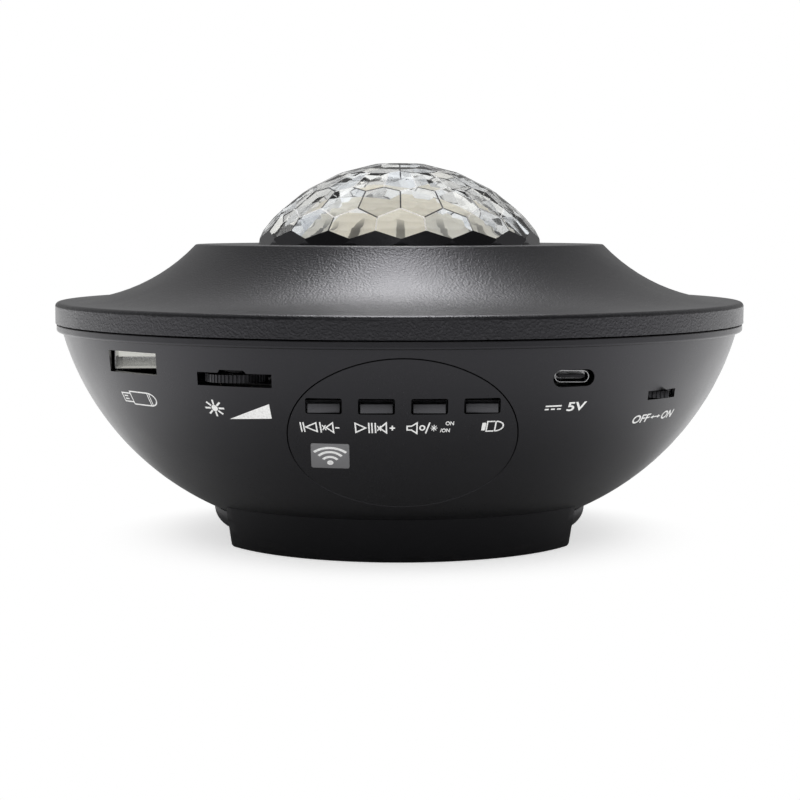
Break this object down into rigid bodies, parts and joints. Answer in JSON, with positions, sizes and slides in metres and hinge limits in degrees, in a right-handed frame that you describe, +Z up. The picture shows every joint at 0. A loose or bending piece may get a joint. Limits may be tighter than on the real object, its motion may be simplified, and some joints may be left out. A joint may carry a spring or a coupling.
{
  "type": "star night light projector",
  "caption": "Saucer-shaped night light projector with a clear faceted dome, a turning ripple lens, a loudspeaker, ports, buttons and a brightness wheel.",
  "frame": {"origin": "centre of the floor contact, under the dome's axis", "axes": "+Z up along the dome's axis, controls and ports face -Y, +X to the right when looking at the controls"},
  "size_m": [0.2, 0.2, 0.1086],
  "materials": {
    "black_housing": "satin black moulded plastic with a fine grain",
    "black_bowl": "satin black moulded plastic",
    "black_base": "satin black moulded plastic",
    "window_tint": "smoked infrared window",
    "button_grey": "dark grey moulded plastic",
    "wheel_black": "knurled black plastic",
    "rubber_black": "soft black rubber",
    "socket_metal": "tin-plated steel",
    "tongue_white": "white insulator",
    "tongue_black": "black insulator",
    "circuit_board": "green solder mask",
    "board_parts": "chips, capacitors and plugs",
    "led_board_white": "white-faced aluminium board",
    "led_lens": "phosphor yellow lamp chips",
    "screw_steel": "zinc-plated steel",
    "speaker_steel": "pressed steel basket",
    "speaker_paper": "black coated paper cone",
    "magnet_ferrite": "ferrite magnet with steel cup",
    "dome_clear": "clear cut-facet plastic",
    "lens_clear": "clear rippled plastic",
    "black_inner": "plain black moulded plastic",
    "gear_ivory": "natural acetal",
    "clip_steel": "spring steel",
    "motor_metal": "plated steel case",
    "sink_aluminium": "extruded aluminium",
    "laser_brass": "brass barrel"
  },
  "bodies": {
    "housing": {"upper_shell": "black_housing", "lower_bowl": "black_bowl", "control_panel": "black_bowl", "base_cover": "black_base", "ir_window": "window_tint", "foot_pads": "rubber_black", "usb_a_shell": "socket_metal", "usb_c_shell": "socket_metal", "power_switch": "socket_metal", "usb_a_tongue": "tongue_white", "usb_c_tongue": "tongue_black", "ir_receiver": "tongue_black", "tact_switches": "tongue_black", "port_board": "circuit_board", "main_board": "circuit_board", "main_board_parts": "board_parts", "potentiometer": "board_parts", "led_board": "led_board_white", "led_emitters": "led_lens", "port_board_screws": "screw_steel", "main_board_screws": "screw_steel", "base_screws": "screw_steel", "housing_screws": "screw_steel", "retainer_screws": "screw_steel", "deck_screws": "screw_steel", "motor_screws": "screw_steel", "heat_sink_screws": "screw_steel", "speaker_frame": "speaker_steel", "speaker_cone": "speaker_paper", "speaker_magnet": "magnet_ferrite", "crystal_dome": "dome_clear", "dome_retainer": "black_inner", "light_deck": "black_inner", "gear_clip": "clip_steel", "gear_motor": "motor_metal", "heat_sink": "sink_aluminium", "laser_module": "laser_brass"},
    "lens_rotor": {"lens_gear": "gear_ivory", "ripple_lens": "lens_clear"},
    "pinion_rotor": {"drive_pinion": "gear_ivory", "motor_shaft": "screw_steel"},
    "previous_button": {"button_previous": "button_grey"},
    "play_button": {"button_play": "button_grey"},
    "light_button": {"button_light": "button_grey"},
    "source_button": {"button_source": "button_grey"},
    "wheel": {"brightness_wheel": "wheel_black"},
    "power_slider": {"power_knob": "wheel_black"}
  },
  "joints": [
    {"name": "lens_spin", "type": "hinge", "parent": "housing", "child": "lens_rotor", "pos_m": [0, 0, 0.0708], "axis": [0, 0, 1], "continuous": true},
    {"name": "pinion_spin", "type": "hinge", "parent": "housing", "child": "pinion_rotor", "pos_m": [0, 0.0471, 0.0708], "axis": [0, 0, 1], "continuous": true},
    {"name": "previous_press", "type": "slide", "parent": "housing", "child": "previous_button", "axis": [0, 1, 0], "range_m": [0, 0.0005], "stiffness_N_per_m": 1500, "springref_m": -0.0004},
    {"name": "play_press", "type": "slide", "parent": "housing", "child": "play_button", "axis": [0, 1, 0], "range_m": [0, 0.0005], "stiffness_N_per_m": 1500, "springref_m": -0.0004},
    {"name": "light_press", "type": "slide", "parent": "housing", "child": "light_button", "axis": [0, 1, 0], "range_m": [0, 0.0005], "stiffness_N_per_m": 1500, "springref_m": -0.0004},
    {"name": "source_press", "type": "slide", "parent": "housing", "child": "source_button", "axis": [0, 1, 0], "range_m": [0, 0.0005], "stiffness_N_per_m": 1500, "springref_m": -0.0004},
    {"name": "brightness_turn", "type": "hinge", "parent": "housing", "child": "wheel", "pos_m": [-0.04241, -0.0764, 0.0522], "axis": [0, 0, 1], "range_deg": [-135, 135]},
    {"name": "power_slide", "type": "slide", "parent": "housing", "child": "power_slider", "axis": [1, 0, 0], "range_m": [0, 0.002]}
  ],
  "couplings": [
    {"joint": "pinion_spin", "follows": "lens_spin", "ratio": -5.7143}
  ]
}
